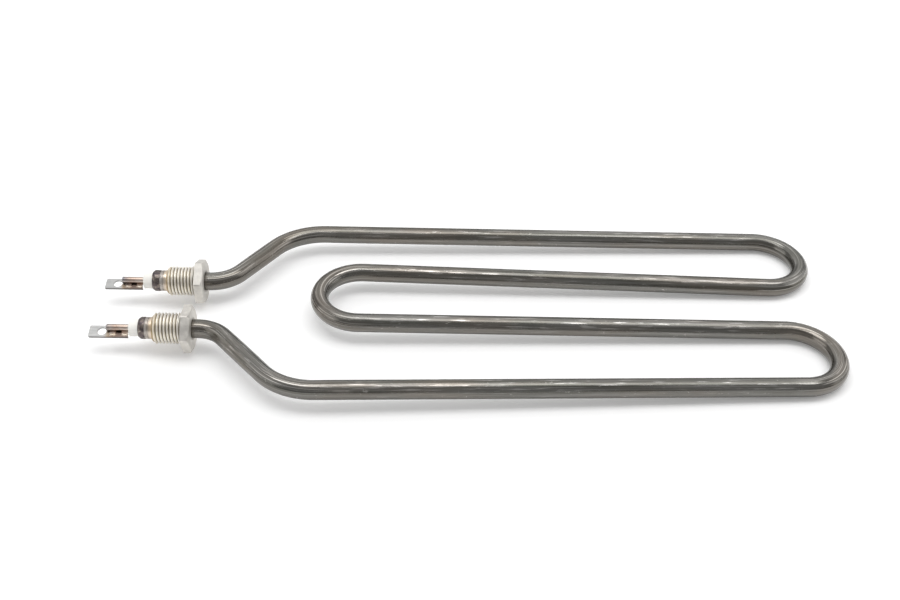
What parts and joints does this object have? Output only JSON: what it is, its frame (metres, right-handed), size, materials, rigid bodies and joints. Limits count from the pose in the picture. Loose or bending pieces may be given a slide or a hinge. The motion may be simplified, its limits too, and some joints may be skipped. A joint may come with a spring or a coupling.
{
  "type": "tubular heating element",
  "caption": "Sheathed tubular heater bent flat into a long serpentine, with a threaded hexagon fitting, ceramic bead and blade terminal at each end.",
  "frame": {"origin": "midway between the two fittings, on the plane of their sealing faces and on the tube's centre line plane", "axes": "+X along the heated legs, away from the fittings; +Y from the front end of the tube to the rear one; +Z square to the flat of the bent tube"},
  "size_m": [0.3377, 0.123, 0.0218],
  "materials": {
    "sheath_steel": "dark annealed stainless tube, satin, light drawn streaks",
    "fitting_steel": "machined stainless, satin, straw heat tint towards the nose",
    "weld_steel": "weld with purple-brown heat tint",
    "ceramic": "unglazed white steatite, matt",
    "pin_steel": "drawn steel, copper-brown heat tint on the welded length",
    "blade_steel": "plain rolled stainless strip, satin",
    "coil_alloy": "resistance alloy wire, dull",
    "magnesia": "compacted white powder, matt",
    "seal_resin": "cured potting resin"
  },
  "bodies": {
    "root": {"blade_terminal_front": "blade_steel", "blade_terminal_rear": "blade_steel", "ceramic_bead_front": "ceramic", "ceramic_bead_rear": "ceramic", "end_seal_front": "seal_resin", "end_seal_rear": "seal_resin", "heating_coil": "coil_alloy", "magnesia_core": "magnesia", "magnesia_sleeve": "magnesia", "nose_weld_front": "weld_steel", "nose_weld_rear": "weld_steel", "sheath_tube": "sheath_steel", "terminal_pin_front": "pin_steel", "terminal_pin_rear": "pin_steel", "threaded_fitting_front": "fitting_steel", "threaded_fitting_rear": "fitting_steel"}
  },
  "joints": []
}
